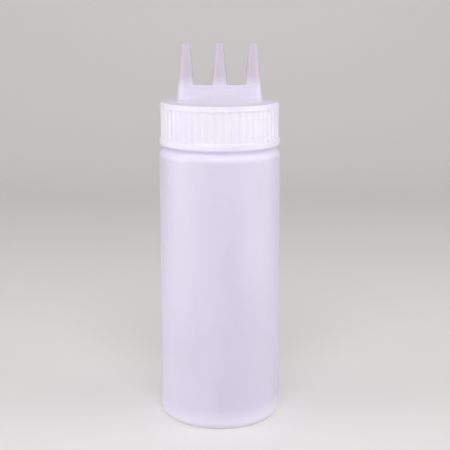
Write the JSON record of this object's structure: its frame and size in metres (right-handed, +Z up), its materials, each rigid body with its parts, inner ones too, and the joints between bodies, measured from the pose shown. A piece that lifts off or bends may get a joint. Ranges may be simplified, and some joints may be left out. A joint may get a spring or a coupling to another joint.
{
  "type": "squeeze sauce bottle with nozzle cap",
  "caption": "Wide-mouth translucent squeeze bottle with a ribbed screw cap whose row of tapered hollow nozzles dispenses sauce, on a threaded neck with a flat seal.",
  "frame": {"origin": "centre of the ring that the bottle stands on, on the bottle's axis", "axes": "+Z up along the bottle's axis towards the nozzle tips, X along the row of nozzles, -Y towards the picture's viewer"},
  "size_m": [0.07, 0.07, 0.2197],
  "materials": {
    "bottle_plastic": "satin, milky translucent",
    "seal_plastic": "soft matt",
    "cap_plastic": "satin-gloss, slightly translucent white"
  },
  "bodies": {
    "bottle": {"bottle": "bottle_plastic"},
    "seal": {"seal_ring": "seal_plastic"},
    "cap": {"nozzle_cap": "cap_plastic"}
  },
  "joints": [
    {"name": "cap_lift", "type": "slide", "parent": "bottle", "child": "seal", "axis": [0, 0, 1], "range_m": [0, 0.00525]},
    {"name": "cap_turn", "type": "hinge", "parent": "seal", "child": "cap", "pos_m": [0, 0, 0.1629], "axis": [0, 0, 1], "range_deg": [0, 450]}
  ],
  "couplings": [
    {"joint": "cap_lift", "follows": "cap_turn", "m_per_rad": 0.00066845}
  ]
}
